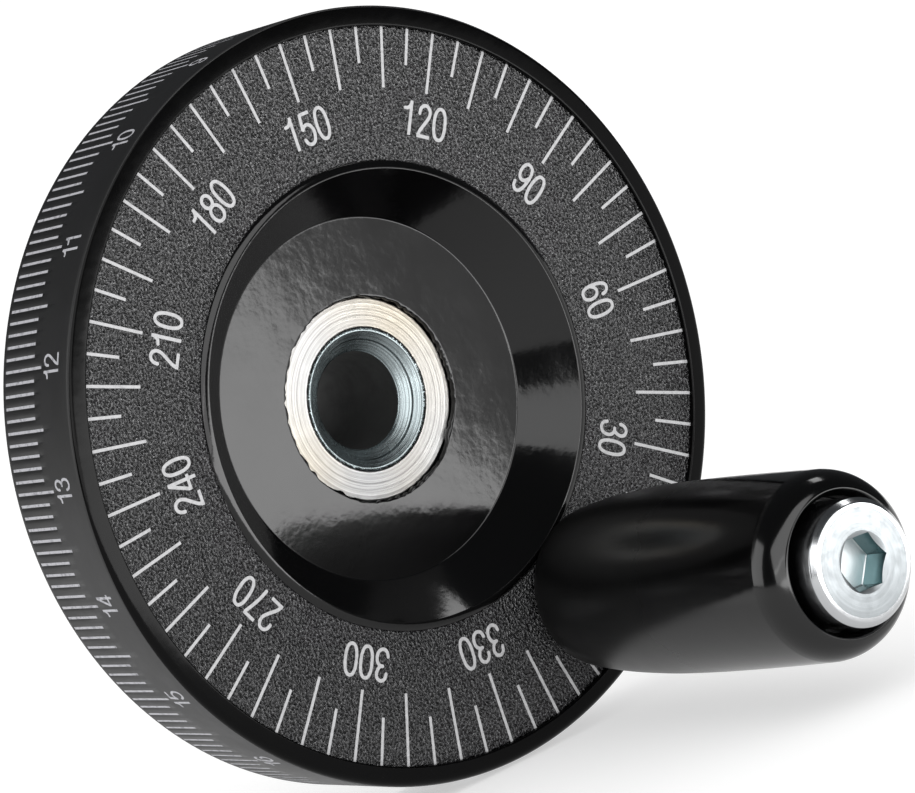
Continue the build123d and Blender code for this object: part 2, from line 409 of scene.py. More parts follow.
def radial(nt, cx=0.0, cy=0.0):
    """Distance from the wheel axis (or an axis parallel to it), in millimetres, from object coordinates."""
    v = tex_coord(nt)
    c = world(cx, cy, 0.0)
    sub = nt.nodes.new("ShaderNodeVectorMath")
    sub.operation = "SUBTRACT"
    sub.inputs[1].default_value = (float(c[0]), 0.0, float(c[2]))
    nt.links.new(v, sub.inputs[0])
    mul = nt.nodes.new("ShaderNodeVectorMath")
    mul.operation = "MULTIPLY"
    mul.inputs[1].default_value = (1000.0, 0.0, 1000.0)
    nt.links.new(sub.outputs[0], mul.inputs[0])
    ln = nt.nodes.new("ShaderNodeVectorMath")
    ln.operation = "LENGTH"
    nt.links.new(mul.outputs[0], ln.inputs[0])
    return v, ln.outputs["Value"], mul.outputs[0]


def turned_metal(name, colour, rough0, rough1, pitch, strength, cx=0.0, cy=0.0, warm=None, dark=0.86):
    """Lathe-turned metal: fine concentric rings whose depth and spacing wander."""
    m, nt, b = new_mat(name)
    v, r, rv = radial(nt, cx, cy)
    b.inputs["Metallic"].default_value = 1.0
    ringv = nt.nodes.new("ShaderNodeCombineXYZ")
    nt.links.new(math_node(nt, "MULTIPLY", r, 1.0 / pitch), ringv.inputs[0])
    slow = noise(nt, v, 90.0, 2.0)
    nt.links.new(math_node(nt, "MULTIPLY", slow, 0.55), ringv.inputs[1])
    rings = noise(nt, ringv.outputs[0], 1.0, 4.0, 0.7)
    blot = noise(nt, v, 700.0, 4.0, 0.65)
    tone = noise(nt, v, 45.0, 1.0)
    c0 = [x * dark for x in colour]
    stops = [(0.32, (*c0, 1.0)), (0.66, (*colour, 1.0))]
    col = ramp(nt, rings, stops)
    if warm is not None:
        mix = nt.nodes.new("ShaderNodeMix")
        mix.data_type = "RGBA"
        nt.links.new(maprange(nt, tone, 0.35, 0.65, 0.0, 1.0), mix.inputs["Factor"])
        nt.links.new(col, mix.inputs[6])
        nt.links.new(ramp(nt, rings, [(0.25, (*[x * dark for x in warm[:3]], 1.0)), (0.75, warm)]), mix.inputs[7])
        col = mix.outputs[2]
    nt.links.new(col, b.inputs["Base Color"])
    nt.links.new(maprange(nt, blot, 0.3, 0.7, rough0, rough1), b.inputs["Roughness"])
    n1 = bump(nt, rings, strength, 0.00006)
    n2 = bump(nt, blot, strength * 0.5, 0.00003, n1)
    nt.links.new(n2, b.inputs["Normal"])
    return m


def paint(name, base, lo, scale, seed, rough=0.55):
    m, nt, b = new_mat(name)
    v = tex_coord(nt)
    mp = nt.nodes.new("ShaderNodeMapping")
    mp.inputs["Location"].default_value = (seed, 0.0, 0.0)
    nt.links.new(v, mp.inputs["Vector"])
    n = noise(nt, mp.outputs["Vector"], scale, 4.0, 0.65)
    nt.links.new(ramp(nt, n, [(0.28, (*lo, 1.0)), (0.5, (*base, 1.0))]), b.inputs["Base Color"])
    nt.links.new(maprange(nt, n, 0.3, 0.7, rough + 0.1, rough - 0.1), b.inputs["Roughness"])
    nt.links.new(bump(nt, n, 0.3, 0.00003), b.inputs["Normal"])
    return m


M_DISH = phenolic("phenolic_polished", 0.0022, 0.08, 0.12, 0.07, spec=0.35, peel2=0.07)
# painted shade: the lip is the dish's phenolic with its specular turned far down, so it reflects little
M_LIP_SHADED = phenolic("phenolic_lip_painted_shade", 0.0020, 0.12, 0.18, 0.10, spec=0.08)
M_SIDE = phenolic("phenolic_turned_side", 0.014, 0.42, 0.50, 0.10, spec=0.4)
M_BACK = phenolic("phenolic_back", 0.010, 0.28, 0.38, 0.16)
M_GRIP = phenolic("phenolic_grip", 0.0018, 0.10, 0.14, 0.04, spec=0.42, dull=(-0.040, -0.074, 0.26))
M_BAND = grained("phenolic_grained")
M_PRINT = paint("dial_print_white", (0.60, 0.60, 0.61), (0.46, 0.46, 0.47), 1800.0, 0.0)
M_RIMPAINT = paint("rim_scale_paint", (0.46, 0.46, 0.49), (0.16, 0.16, 0.18), 1500.0, 2.0)
M_STEEL = turned_metal("hub_steel_turned", (0.56, 0.56, 0.56), 0.34, 0.46, 0.20, 0.9,
                       warm=(0.51, 0.465, 0.39, 1.0), dark=0.45)
# painted shade: the countersink is a darker, bluer copy of the hub's turned steel
M_CSK_SHADED = turned_metal("hub_countersink_painted_shade", (0.34, 0.39, 0.40), 0.20, 0.30, 0.16, 1.0, dark=0.25)
# painted shade: the steel bore is coloured near black, standing in for the shade inside it
M_BORE_SHADE = paint("hub_bore_painted_shade", (0.010, 0.011, 0.010), (0.005, 0.005, 0.005), 300.0, 4.0, 0.8)
M_ZINC = turned_metal("zinc_plate", (0.31, 0.33, 0.34), 0.30, 0.44, 0.45, 0.35, HANDLE_R, 0.0, dark=0.78)
M_ZINC_SIDE = turned_metal("zinc_plate_side", (0.50, 0.51, 0.52), 0.14, 0.22, 0.9, 0.15, HANDLE_R, 0.0)
# painted highlight: the socket floor is a much paler copy of the zinc plating
M_SEAT_LIT = turned_metal("zinc_seat_painted_highlight", (0.62, 0.64, 0.65), 0.34, 0.46, 0.9, 0.2, HANDLE_R, 0.0)
# painted shade: the socket walls are a dark copy of the zinc plating, keeping the plating's blue-green tint
M_SOCKET_SHADED = turned_metal("zinc_socket", (0.13, 0.215, 0.225), 0.18, 0.28, 0.9, 0.1, HANDLE_R, 0.0)

# --------------------------------------------------------------------------
# Wheel body
# --------------------------------------------------------------------------
N_LO, N_RIM = 250, 1000
RIM_OFF = -0.103
TICK_COLS = np.array([-0.205, -0.17, 0.17, 0.205, 0.785])
TURN_AXIS = math.radians(144.0)


def rim_angles():
    base = np.radians(np.arange(200) * 1.8 + RIM_OFF)
    return (base[:, None] + TICK_COLS[None, :] / 49.9).ravel()


RIM_ANG = rim_angles()
LO_ANG = RIM_ANG[np.arange(N_LO) * 4]


def side_r(z):
    """The rim's side leans in towards the back by three degrees."""
    return np.minimum(50.0, 50.0 + 0.052 * (np.asarray(z, float) - 0.3))


def run_out(z, th):
    """The scale was cut with the wheel held slightly out of true, so its rows drift towards one side."""
    t = np.interp(z, [-16.2, -15.45, -8.35, -6.6, -2.35, 0.0], [0.0, 0.3, 0.5, 0.6, 0.75, 0.95])
    return t * np.cos(th - TURN_AXIS)


GROOVE = 0.05
FLOOR_DEPTH = -5.86


def seat_edge(ang):
    """Radius of the moulding's mouth round the steel insert: flash and small chips break the circle."""
    rng = np.random.RandomState(8)
    wob = np.zeros(len(ang))
    for f in range(6, 90):
        wob += rng.normal() * np.cos(f * ang + rng.uniform(0, 6.28)) / (1 + (f / 38.0) ** 2)
    wob = wob / wob.std()
    r = 13.17 + 0.115 * wob
    for at, depth, width in ((168.0, 0.38, 1.5), (153.0, 0.16, 0.9), (217.0, 0.22, 1.2), (232.0, 0.16, 1.0),
                             (283.0, 0.15, 1.0), (136.0, 0.14, 0.9), (118.0, 0.12, 1.1)):
        d = (np.degrees(ang) - at + 180) % 360 - 180
        r = r + (-depth if at > 200 else depth) * np.exp(-((d / width) ** 2)) * (0.5 if at > 200 else 1.0)
    return np.clip(r, 12.85, 13.6)


def make_wheel():
    R = Revolve()
    GLOSS, LIP, SIDE, BACK, BANDM = 0, 1, 2, 3, 4
    # recess: the insert's seat with its ragged mouth, a flat floor, a conical wall, the bead
    first = R.ring(13.18, -12.0, LO_ANG)
    R.ring(13.18, -7.0, LO_ANG)
    rag = seat_edge(RIM_ANG)
    R.ring(rag - 0.01, -6.72, RIM_ANG)
    R.ring(rag, -5.96, RIM_ANG)
    R.ring(rag + 0.05, -5.875, RIM_ANG)
    for r in (13.42, 13.52, 13.9):
        R.ring(r, FLOOR_DEPTH, RIM_ANG)
    for r in np.linspace(14.4, 23.16, 18):
        R.ring(r, FLOOR_DEPTH, LO_ANG)
    edge = rounded(
        [
            (23.16, FLOOR_DEPTH),
            (23.42, FLOOR_DEPTH, 0.4, 8),
            (29.06, 0.395, 0.05, 3),
            (29.2, 0.4),
        ]
    )
    for r, z in edge[1:-1]:
        R.ring(r, z, LO_ANG)
    for u in np.linspace(0.0, 1.0, 9):
        R.ring(29.16 + 0.99 * u, 0.398 * (1.0 - u * u), LO_ANG)
    R.ring(30.16, -0.12, LO_ANG)
    R.ring(30.4, -0.16, LO_ANG)
    R.chain(first, len(R.rings) - 1, lambda i: GLOSS)
    # under the grained band
    a = len(R.rings) - 1
    b = R.ring(46.6, -0.16, LO_ANG)
    R.join(a, b, BANDM)
    # lip: a crowned crest, then a corner whose round grows from one side of the rim to the other
    cth = np.cos(RIM_ANG - TURN_AXIS)
    rho = 0.8 - 0.5 * cth
    zc = 0.43 - rho
    rc = side_r(zc) - rho
    first = R.ring(46.9, -0.16, RIM_ANG)
    R.join(b, first, BANDM)
    for r, z in [(47.34, -0.16), (47.37, -0.12), (47.38, 0.30), (47.40, 0.42), (47.45, 0.495),
                 (47.54, 0.535), (47.64, 0.548)]:
        R.ring(r, z, RIM_ANG)
    a0 = math.radians(11.0)
    for f in np.linspace(0.06, 1.0, 10):
        r = 47.64 + (rc + rho * math.sin(a0) - 47.64) * f
        z = 0.548 - (0.548 - zc - rho * math.cos(a0)) * f ** 1.45
        R.ring(r, z, RIM_ANG)
    ab = np.radians(np.interp(cth, [-1, -0.59, 0.14, 0.588, 0.81, 1], [86, 86, 52, 40, 30, 6]))
    ab = np.maximum(ab, a0 + 0.03)
    for f in np.linspace(0.0, 1.0, 8)[1:]:
        a_ = a0 + (ab - a0) * f
        R.ring(rc + rho * np.sin(a_), zc + rho * np.cos(a_), RIM_ANG)
    R.chain(first, len(R.rings) - 1, lambda i: LIP)
    s = len(R.rings) - 1
    for f in np.linspace(0.0, 1.0, 8)[1:]:
        a_ = ab + (math.pi / 2 - ab) * f
        R.ring(rc + rho * np.sin(a_), zc + rho * np.cos(a_), RIM_ANG)
    # turned side with the engraved scale
    n5 = np.arange(200) % 5 == 0
    bottom = np.tile(np.array([0, 1, 1, 0, 0], float), 200)
    major = np.repeat(n5, 5).astype(float)
    rows = [
        (-2.3, 0), (-4.4, 0), (-6.57, 0), (-6.61, 1), (-8.32, 1), (-8.36, 2), (-11.9, 2),
        (-15.41, 2), (-15.45, 0),
    ]
    # rows: (z, 1 = long marks engraved, 2 = all marks engraved)
    for z, eng in rows:
        on = bottom * (major if eng == 1 else 1.0) if eng else bottom * 0.0
        zz = z + run_out(z, RIM_ANG)
        R.ring(side_r(zz) - GROOVE * on, zz, RIM_ANG)
    back = rounded([(float(side_r(-15.6)), -15.6), (float(side_r(-16.2)), -16.2, 0.3, 6), (48.2, -16.2)])
    for r, z in back[2:]:
        R.ring(r, z, RIM_ANG)
    R.chain(s, len(R.rings) - 1, SIDE)
    s = len(R.rings) - 1
    rest = rounded(
        [
            (47.9, -16.2),
            (35.2, -16.2, 0.8, 6),
            (34.85, -12.6, 1.6, 8),
            (19.35, -12.6, 2.0, 8),
            (19.0, -27.5, 0.6, 5),
            (13.18, -27.5),
            (13.18, -12.0),
        ]
    )
    for r, z in rest[:-1]:
        R.ring(r, z, LO_ANG)
    R.chain(s, len(R.rings) - 1, BACK)
    R.join(len(R.rings) - 1, 0, BACK)
    ob = build("wheel_moulding", R.world(), R.f, [M_DISH, M_LIP_SHADED, M_SIDE, M_BACK, M_BAND], "wheel",
               R.fm)
    outward(ob)
    return ob


def make_band():
    """The grained dial band: a thin closed ring let into the face."""
    R = Revolve()
    n = 1440
    ang = even(n)
    rows = 64
    rad = np.linspace(BAND_R0, BAND_R1, rows)
    R.ring(BAND_R0, -0.30, ang)
    for r in rad:
        x, y = r * np.cos(ang), r * np.sin(ang)
        R.ring(r, grain_z(x, y), ang)
    R.ring(BAND_R1, -0.30, ang)
    R.chain(0, len(R.rings) - 1, 0)
    R.join(len(R.rings) - 1, 0, 0)
    ob = build("dial_band_grain", R.world(), R.f, [M_BAND], "wheel", R.fm)
    outward(ob)
    return ob


# --------------------------------------------------------------------------
# Printed and engraved figures: strokes as a signed distance field, meshed
# --------------------------------------------------------------------------
def smooth_path(pts, closed=False, steps=6):
    p = np.array(pts, float)
    n = len(p)
    out = []
    segs = n if closed else n - 1
    for i in range(segs):
        if closed:
            a, b, c, d = p[(i - 1) % n], p[i], p[(i + 1) % n], p[(i + 2) % n]
        else:
            a, b, c, d = p[max(i - 1, 0)], p[i], p[i + 1], p[min(i + 2, n - 1)]
        for s in range(steps):
            t = s / steps
            out.append(
                0.5
                * (
                    2 * b
                    + (c - a) * t
                    + (2 * a - 5 * b + 4 * c - d) * t * t
                    + (3 * b - a - 3 * c + d) * t ** 3
                )
            )
    out.append(p[0] if closed else p[-1])
    return np.array(out)


def superellipse(cx, cy, a, b, e=2.4, n=28):
    t = np.linspace(0, 2 * math.pi, n, endpoint=False)
    c, s = np.cos(t), np.sin(t)
    return np.stack(
        [
            cx + a * np.sign(c) * np.abs(c) ** (2 / e),
            cy + b * np.sign(s) * np.abs(s) ** (2 / e),
        ],
        -1,
    )


# strokes: (points, closed, smoothed); box 2.2 wide, 4.5 tall, stroke 0.45
SIX = [(1.86, 3.30), (1.70, 3.92), (1.18, 4.27), (0.66, 4.02), (0.34, 3.20), (0.24, 2.2),
       (0.28, 1.2), (0.58, 0.45), (1.12, 0.22), (1.66, 0.46), (1.94, 1.30), (1.74, 2.20),
       (1.20, 2.58), (0.66, 2.32), (0.32, 1.75)]
GLYPHS = {
    "0": [([tuple(p) for p in superellipse(1.1, 2.25, 0.86, 2.03, 2.35)], True, False)],
    "1": [([(1.30, 0.0), (1.30, 4.5)], False, False),
          ([(1.34, 4.28), (1.05, 3.72), (0.72, 3.46), (0.28, 3.40)], False, True)],
    "2": [([(0.27, 3.05), (0.36, 3.70), (0.70, 4.14), (1.16, 4.27), (1.62, 4.06), (1.88, 3.50),
            (1.78, 2.85), (1.38, 2.15), (0.90, 1.45), (0.52, 0.85), (0.36, 0.30)], False, True),
          ([(0.10, 0.22), (2.12, 0.22)], False, False)],
    "3": [([(0.30, 3.22), (0.42, 3.82), (0.78, 4.20), (1.16, 4.27), (1.60, 4.05), (1.80, 3.50),
            (1.64, 2.85), (1.30, 2.46), (0.92, 2.38)], False, True),
          ([(0.92, 2.38), (1.40, 2.34), (1.82, 1.95), (1.95, 1.30), (1.76, 0.60), (1.30, 0.26),
            (0.90, 0.24), (0.46, 0.52), (0.25, 1.15)], False, True)],
    "4": [([(1.52, 4.34), (0.98, 3.05), (0.28, 1.38)], False, False),
          ([(0.10, 1.20), (2.14, 1.20)], False, False),
          ([(1.58, 0.0), (1.58, 4.45)], False, False)],
    "5": [([(0.52, 4.26), (1.98, 4.26)], False, False),
          ([(0.52, 4.40), (0.30, 2.24)], False, False),
          ([(0.34, 2.28), (0.66, 2.66), (1.08, 2.80), (1.58, 2.58), (1.94, 1.92), (1.92, 1.10),
            (1.62, 0.45), (1.12, 0.22), (0.58, 0.42), (0.24, 1.08)], False, True)],
    "6": [(SIX, False, True)],
    "7": [([(0.14, 4.26), (2.10, 4.26)], False, False),
          ([(1.94, 4.20), (1.55, 3.10), (1.20, 1.90), (0.98, 0.90), (0.88, 0.0)], False, True)],
    "8": [([tuple(p) for p in superellipse(1.1, 3.40, 0.70, 0.87, 2.15, 22)], True, False),
          ([tuple(p) for p in superellipse(1.1, 1.34, 0.86, 1.12, 2.2, 24)], True, False)],
    "9": [([(2.2 - x, 4.5 - y) for x, y in SIX], False, True)],
}
STROKE = 0.45


def glyph_field(ch, X, Y, w=STROKE):
    d = np.full(X.shape, 9.0)
    for pts, closed, smo in GLYPHS[ch]:
        p = smooth_path(pts, closed) if (smo or closed) else np.array(pts, float)
        m = len(p) - 1
        for i in range(m):
            a, b = p[i], p[i + 1]
            ln = np.linalg.norm(b - a)
            if ln < 1e-6:
                continue
            t = (b - a) / ln
            lx = (X - a[0]) * t[0] + (Y - a[1]) * t[1]
            ly = -(X - a[0]) * t[1] + (Y - a[1]) * t[0]
            qx, qy = np.abs(lx - ln / 2) - ln / 2, np.abs(ly) - w / 2
            box = np.hypot(np.maximum(qx, 0), np.maximum(qy, 0)) + np.minimum(np.maximum(qx, qy), 0)
            d = np.minimum(d, box)
            if 0 < i:  # round the joint between two runs
                d = np.minimum(d, np.hypot(X - a[0], Y - a[1]) - w / 2)
    return d


def contour_mesh(F, xs, ys):
    """Marching squares: the region F < 0 as polygons on the grid, and its boundary edges."""
    verts, index, polys = [], {}, []

    def grid(i, j):
        k = ("g", i, j)
        if k not in index:
            index[k] = len(verts)
            verts.append((xs[i], ys[j]))
        return index[k]

    def cross(i0, j0, i1, j1):
        k = ("e", min(i0, i1), min(j0, j1), i0 != i1)
        if k not in index:
            f0, f1 = F[j0, i0], F[j1, i1]
            t = min(max(f0 / (f0 - f1), 0.03), 0.97)
            index[k] = len(verts)
            verts.append((xs[i0] + (xs[i1] - xs[i0]) * t, ys[j0] + (ys[j1] - ys[j0]) * t))
        return index[k]

    ny, nx = F.shape
    ins = F < 0
    any_in = ins[:-1, :-1] | ins[1:, :-1] | ins[:-1, 1:] | ins[1:, 1:]
    for j, i in zip(*np.nonzero(any_in)):
        i, j = int(i), int(j)
        cs = [(i, j), (i + 1, j), (i + 1, j + 1), (i, j + 1)]
        poly = []
        for a, b in zip(cs, cs[1:] + cs[:1]):
            ia, ib = ins[a[1], a[0]], ins[b[1], b[0]]
            if ia:
                poly.append(grid(*a))
            if ia != ib:
                if (a[0] > b[0]) or (a[1] > b[1]):
                    poly.append(cross(b[0], b[1], a[0], a[1]))
                else:
                    poly.append(cross(a[0], a[1], b[0], b[1]))
        if len(poly) >= 3:
            polys.append(poly)
    edges = {}
    for p in polys:
        for a, b in zip(p, p[1:] + p[:1]):
            edges[(a, b)] = edges.get((a, b), 0) + 1
    rim = [(a, b) for (a, b) in edges if (b, a) not in edges]
    return np.array(verts), polys, rim


class Slab:
    """Thin closed plates laid on a curved surface: top, bottom and edge walls."""

    def __init__(self):
        self.v, self.f, self.n = [], [], 0

    def add(self, top, bot, polys, rim):
        k = len(top)
        self.v += [top, bot]
        o = self.n
        self.f += [[o + a for a in p] for p in polys]
        self.f += [[o + k + a for a in reversed(p)] for p in polys]
        self.f += [[o + a, o + k + a, o + k + b, o + b] for a, b in rim]
        self.n += 2 * k

    def verts(self):
        return np.concatenate(self.v, 0)


PRINT_C = (-0.715, 0.326)
PRINT_TOP = 0.032


def print_height(x, y):
    # the ink follows the grain but fills its valleys a little
    return 0.6 * grain_z(x, y) - 0.4 * 0.045 + 0.4 * 0.5 * GRAIN_AMP + PRINT_TOP


def make_print():
    S = Slab()

    def lay(vx, vy, polys, rim):
        top = world(vx, vy, print_height(vx, vy))
        bot = world(vx, vy, np.full(len(vx), -0.20))
        S.add(top, bot, polys, rim)

    # ticks: long at the tens, short at the fives; outer ends on the band's edge
    for k in range(72):
        th = math.radians(5.0 * k)
        er, et = np.array([math.cos(th), math.sin(th)]), np.array([-math.sin(th), math.cos(th)])
        r_in = 38.76 if k % 2 == 0 else 41.92
        # outer end where the ray from the print's centre meets r = 47.33 about the wheel's
        c = np.array(PRINT_C)
        bq = er @ c
        r_out = -bq + math.sqrt(bq * bq - (c @ c - 47.33 ** 2))
        if k == 0:
            pass
        nr, nc = int((r_out - r_in) / 0.24) + 2, 4
        rs = np.linspace(r_in, r_out, nr)
        us = np.linspace(-0.2, 0.2, nc)
        U, RR = np.meshgrid(us, rs)
        px = c[0] + er[0] * RR + et[0] * U
        py = c[1] + er[1] * RR + et[1] * U
        polys, rim = [], []
        for i in range(nr - 1):
            for j in range(nc - 1):
                polys.append([i * nc + j, (i + 1) * nc + j, (i + 1) * nc + j + 1, i * nc + j + 1])
        edges = set()
        for p in polys:
            for a, b in zip(p, p[1:] + p[:1]):
                edges.add((a, b))
        rim = [(a, b) for a, b in sorted(edges) if (b, a) not in edges]
        lay(px.ravel(), py.ravel(), polys, rim)
    # numerals
    g = 0.085
    xs = np.arange(-0.15, 2.4, g)
    ys = np.arange(-0.15, 4.7, g)
    X, Y = np.meshgrid(xs, ys)
    fields = {}
    shift = {30: -0.05, 60: 0.0, 90: 0.0, 120: 0.15, 150: 0.0, 180: 0.0, 210: -0.15, 240: -0.15,
             270: -0.22, 300: -0.15, 330: -0.15, 0: 0.0}
    for val in range(0, 360, 30):
        text = str(val)
        th = math.radians(val)
        er = np.array([math.cos(th), math.sin(th)])
        et = np.array([math.sin(th), -math.cos(th)])
        adv = 2.42
        x0 = -adv * len(text) / 2 + (adv - 2.2) / 2 + shift[val]
        for i, ch in enumerate(text):
            if ch not in fields:
                fields[ch] = contour_mesh(glyph_field(ch, X, Y), xs, ys)
            v, polys, rim = fields[ch]
            u = x0 + i * adv + v[:, 0]
            w = 32.93 + v[:, 1]
            px = PRINT_C[0] + er[0] * w + et[0] * u
            py = PRINT_C[1] + er[1] * w + et[1] * u
            # u runs clockwise, so the polygons turn over
            lay(px, py, [p[::-1] for p in polys], [(b, a) for a, b in rim])
    ob = build("dial_print", S.verts(), S.f, [M_PRINT], "wheel", smooth=False)
    outward(ob)
    return ob


def make_rim_paint():
    S = Slab()
    # fill of the engraved marks
    for k in range(200):
        th0 = math.radians(k * 1.8 + RIM_OFF)
        tens = k % 5 == 0
        z0, z1 = -15.43, (-6.59 if tens else -8.34)
        us = np.array([-0.185, -0.09, 0.09, 0.185])
        zs = np.linspace(z0, z1, 12 if tens else 9)
        U, Z = np.meshgrid(us, zs)
        th = th0 + U / 49.9
        Z = Z + run_out(Z, th)
        sag = np.array([0.016, 0.024, 0.024, 0.016])[None, :] + 0 * Z
        rr = side_r(Z) - sag
        nc, nr = len(us), len(zs)
        polys = [
            [i * nc + j, (i + 1) * nc + j, (i + 1) * nc + j + 1, i * nc + j + 1]
            for i in range(nr - 1)
            for j in range(nc - 1)
        ]
        edges = set()
        for p in polys:
            for a, b in zip(p, p[1:] + p[:1]):
                edges.add((a, b))
        rim = [(a, b) for a, b in sorted(edges) if (b, a) not in edges]
        top = world((rr * np.cos(th)).ravel(), (rr * np.sin(th)).ravel(), Z.ravel())
        rb = side_r(Z) - 0.12
        bot = world((rb * np.cos(th)).ravel(), (rb * np.sin(th)).ravel(), Z.ravel())
        S.add(top, bot, polys, rim)
    # numbers 0 to 19 at every tenth mark, tops towards the back
    g = 0.09
    xs = np.arange(-0.15, 2.4, g)
    ys = np.arange(-0.15, 4.7, g)
    X, Y = np.meshgrid(xs, ys)
    fields = {}
    for num in range(20):
        text = str(num)
        th0 = math.radians(num * 18.0 + RIM_OFF)
        x0 = -0.88 if len(text) == 1 else -1.73
        for i, ch in enumerate(text):
            if ch not in fields:
                fields[ch] = contour_mesh(glyph_field(ch, X, Y, 0.44), xs, ys)
            v, polys, rim = fields[ch]
            u = x0 + i * 1.60 + v[:, 0] * RIM_NUM_SCALE
            th = th0 - u / 49.9
            z = RIM_NUM_Z - v[:, 1] * RIM_NUM_SCALE
            z = z + run_out(z, th)
            rt = np.minimum(side_r(z) + 0.002, 49.998)
            rb = side_r(z) - 0.12
            top = world(rt * np.cos(th), rt * np.sin(th), z)
            bot = world(rb * np.cos(th), rb * np.sin(th), z)
            S.add(top, bot, polys, rim)
    ob = build("rim_scale_fill", S.verts(), S.f, [M_RIMPAINT], "wheel", smooth=False)
    outward(ob)
    return ob


RIM_NUM_SCALE = 0.8
RIM_NUM_Z = -2.35


def make_hub():
    R = Revolve()
    n = 720
    ang = even(n)
    rng = np.random.RandomState(3)
    # ragged turned-over edge of the steel face
    k = np.arange(n)
    wob = np.zeros(n)
    for f in range(5, 60):
        wob += rng.normal() * np.cos(f * ang + rng.uniform(0, 6.28)) * (0.9 / (1 + (f / 22.0) ** 2))
    wob = 0.05 * wob / wob.std()
    edge = np.clip(13.05 + 0.6 * wob, 12.8, 13.15)
    FACE, CSK, BORE = 0, 1, 2
    zf = -6.7
    prof_in = rounded(
        [
            (6.35, -25.5),
            (6.35, -8.75, 0.05, 2),
            (6.62, -8.45, 0.05, 2),
            (7.72, -7.62, 0.05, 2),
            (7.84, -7.38, 0.06, 3),
            (8.78, -6.7, 0.05, 2),
            (9.4, -6.7),
        ]
    )
    first = R.ring(6.75, -28.0, ang)
    R.ring(6.35, -27.6, ang)
    for r, z in prof_in[:-1]:
        R.ring(r, z, ang)
    nb = len(R.rings)
    for f in np.linspace(0.08, 1.0, 14):
        r = 8.9 + (edge - 0.16 - 8.9) * f
        R.ring(r, zf + 0 * r, ang)
    R.ring(edge - 0.06, zf - 0.02, ang)
    R.ring(edge, zf - 0.10, ang)
    R.ring(edge, zf - 0.45, ang)
    R.ring(13.16, zf - 0.9, ang)
    R.ring(13.16, -27.5, ang)
    R.ring(12.7, -28.0, ang)
    last = len(R.rings) - 1

    def mat(i):
        r = float(np.linalg.norm(R.v[i][0][:2]))
        z = float(R.v[i][0][2])
        # the bore takes the near-black painted shade
        if i < 4 or z < -8.8 and r < 7:
            return BORE
        # the countersink takes the darker steel: painted shade
        if i < nb - 1:
            return CSK
        return FACE

    R.chain(0, last, mat)
    R.join(last, 0, FACE)
    ob = build("hub_bush", R.world(), R.f, [M_STEEL, M_CSK_SHADED, M_BORE_SHADE], "wheel", R.fm)
    outward(ob)
    return ob


def catmull(pts, steps=6):
    return smooth_path(pts, False, steps)


GRIP = [(9.4, 0.85), (9.95, 1.6), (10.5, 3.1), (11.0, 6.0), (11.5, 10.0), (11.9, 15.0),
        (12.15, 20.0), (12.27, 27.0), (12.27, 34.0), (12.21, 41.0), (12.13, 46.0), (12.05, 49.3)]
NOSE = [(12.05, 49.3), (11.9, 50.2), (11.6, 51.1), (11.12, 51.95), (10.45, 52.67), (9.7, 53.12)]


def make_grip():
    R = Revolve(HANDLE_R, 0.0)
    n = 360
    ang = even(n)
    prof = [tuple(p) for p in catmull(GRIP, 6)] + [tuple(p) for p in catmull(NOSE, 7)][1:]
    mouth = rounded([prof[-2], prof[-1], (9.3, 53.2, 0.45, 7), (8.75, 52.4, 0.35, 5), (8.61, 51.8, 0.1, 3),
                     (8.61, 48.32, 0.1, 2), (5.08, 48.32, 0.1, 2), (5.08, 0.88, 0.15, 2), (9.2, 0.86), prof[0]])
    k = [i for i, p in enumerate(mouth) if abs(p[0] - prof[-1][0]) < 1e-9 and abs(p[1] - prof[-1][1]) < 1e-9][0]
    pts = prof + [tuple(p) for p in mouth[k + 1:-1]]
    for r, z in pts:
        R.ring(r, z, ang)
    R.chain(0, len(R.rings) - 1, 0)
    R.join(len(R.rings) - 1, 0, 0)
    ob = build("barrel_grip", R.world(), R.f, [M_GRIP], "grip", R.fm)
    outward(ob)
    return ob


HEX_ANGLE_DIAL = 57.35


